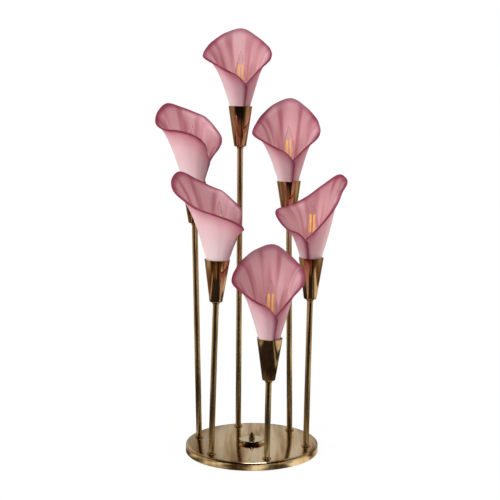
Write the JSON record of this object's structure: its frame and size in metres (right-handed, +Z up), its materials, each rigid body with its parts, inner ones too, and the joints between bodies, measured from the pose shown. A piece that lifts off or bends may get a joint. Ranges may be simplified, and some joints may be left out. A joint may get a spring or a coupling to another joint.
{
  "type": "table lamp",
  "caption": "Table lamp: hand-rolled glass calla lily shades on slender brass stems of different heights, rising from a round brass base with a centre dimmer knob.",
  "frame": {"origin": "centre of the round base, on the surface that the lamp stands on", "axes": "+Z up; the flowers open towards -Y; +X to the right as seen from the front"},
  "size_m": [0.3265, 0.3143, 0.7366],
  "materials": {
    "polished_brass": "polished, thin clear lacquer",
    "pale_brass": "turned and polished, paler than the base",
    "dark_brass": "darkened turned brass",
    "cast_iron": "as cast, painted black",
    "zinc_plated_steel": "zinc plated",
    "nickelled_cap": "nickel plated",
    "felt": "dense green-black wool felt",
    "moulded_plastic": "ivory moulded plastic",
    "lead_sheath": "soft clear-ivory sheath",
    "seat_fibre": "pressed fibre",
    "led_filament": "phosphor-coated filament",
    "clear_bulb_glass": "clear blown glass",
    "rose_glass": "hand-rolled translucent rose glass, satin milk inside, dark edges"
  },
  "bodies": {
    "root": {"base_pan": "polished_brass", "ballast_weight": "cast_iron", "bottom_cover": "zinc_plated_steel", "cover_screws": "zinc_plated_steel", "felt_pad": "felt", "cord_inlet_bushing": "polished_brass", "dimmer_body": "moulded_plastic", "dimmer_nut": "zinc_plated_steel", "dial_spacer": "dark_brass", "dial_plate": "pale_brass", "foot_collars": "polished_brass", "foot_washers": "zinc_plated_steel", "foot_nuts": "polished_brass", "stem_leads": "lead_sheath", "neck_collars": "polished_brass", "cup_nipples": "zinc_plated_steel", "cup_nuts": "polished_brass", "glass_seat_rings": "seat_fibre", "bulb_caps": "nickelled_cap", "bulb_mounts": "clear_bulb_glass", "bulb_filaments": "led_filament", "stem_1": "polished_brass", "cup_1": "polished_brass", "socket_1": "moulded_plastic", "bulb_glass_1": "clear_bulb_glass", "stem_2": "polished_brass", "cup_2": "polished_brass", "socket_2": "moulded_plastic", "bulb_glass_2": "clear_bulb_glass", "stem_3": "polished_brass", "cup_3": "polished_brass", "socket_3": "moulded_plastic", "bulb_glass_3": "clear_bulb_glass", "stem_4": "polished_brass", "cup_4": "polished_brass", "socket_4": "moulded_plastic", "bulb_glass_4": "clear_bulb_glass", "stem_5": "polished_brass", "cup_5": "polished_brass", "socket_5": "moulded_plastic", "bulb_glass_5": "clear_bulb_glass", "stem_6": "polished_brass", "cup_6": "polished_brass", "socket_6": "moulded_plastic", "bulb_glass_6": "clear_bulb_glass"},
    "dimmer_knob": {"knob": "pale_brass", "dimmer_shaft": "zinc_plated_steel", "knob_set_screw": "zinc_plated_steel"},
    "flower_1": {"shade_1": "rose_glass"},
    "flower_2": {"shade_2": "rose_glass"},
    "flower_3": {"shade_3": "rose_glass"},
    "flower_4": {"shade_4": "rose_glass"},
    "flower_5": {"shade_5": "rose_glass"},
    "flower_6": {"shade_6": "rose_glass"}
  },
  "joints": [
    {"name": "dimmer_turn", "type": "hinge", "parent": "root", "child": "dimmer_knob", "pos_m": [0, 0, 0.0205], "axis": [0, 0, 1], "range_deg": [-300, 0]},
    {"name": "flower_1_swivel", "type": "hinge", "parent": "root", "child": "flower_1", "pos_m": [-0.01998, 0.0933, 0.596], "axis": [0.008, 0, 1], "continuous": true},
    {"name": "flower_2_swivel", "type": "hinge", "parent": "root", "child": "flower_2", "pos_m": [-0.09944, 0.0253, 0.467], "axis": [-0.014, 0, 0.9999], "continuous": true},
    {"name": "flower_3_swivel", "type": "hinge", "parent": "root", "child": "flower_3", "pos_m": [-0.05694, -0.068, 0.345], "axis": [0.0349, 0, 0.9994], "range_deg": [-30, 190]},
    {"name": "flower_4_swivel", "type": "hinge", "parent": "root", "child": "flower_4", "pos_m": [0.06517, 0.068, 0.4655], "axis": [-0.0073, 0, 1], "range_deg": [-240, 15]},
    {"name": "flower_5_swivel", "type": "hinge", "parent": "root", "child": "flower_5", "pos_m": [0.10011, -0.0253, 0.3426], "axis": [0.0213, 0, 0.9998], "continuous": true},
    {"name": "flower_6_swivel", "type": "hinge", "parent": "root", "child": "flower_6", "pos_m": [0.02925, -0.0933, 0.219], "axis": [0.0225, 0, 0.9997], "range_deg": [-20, 25]}
  ]
}
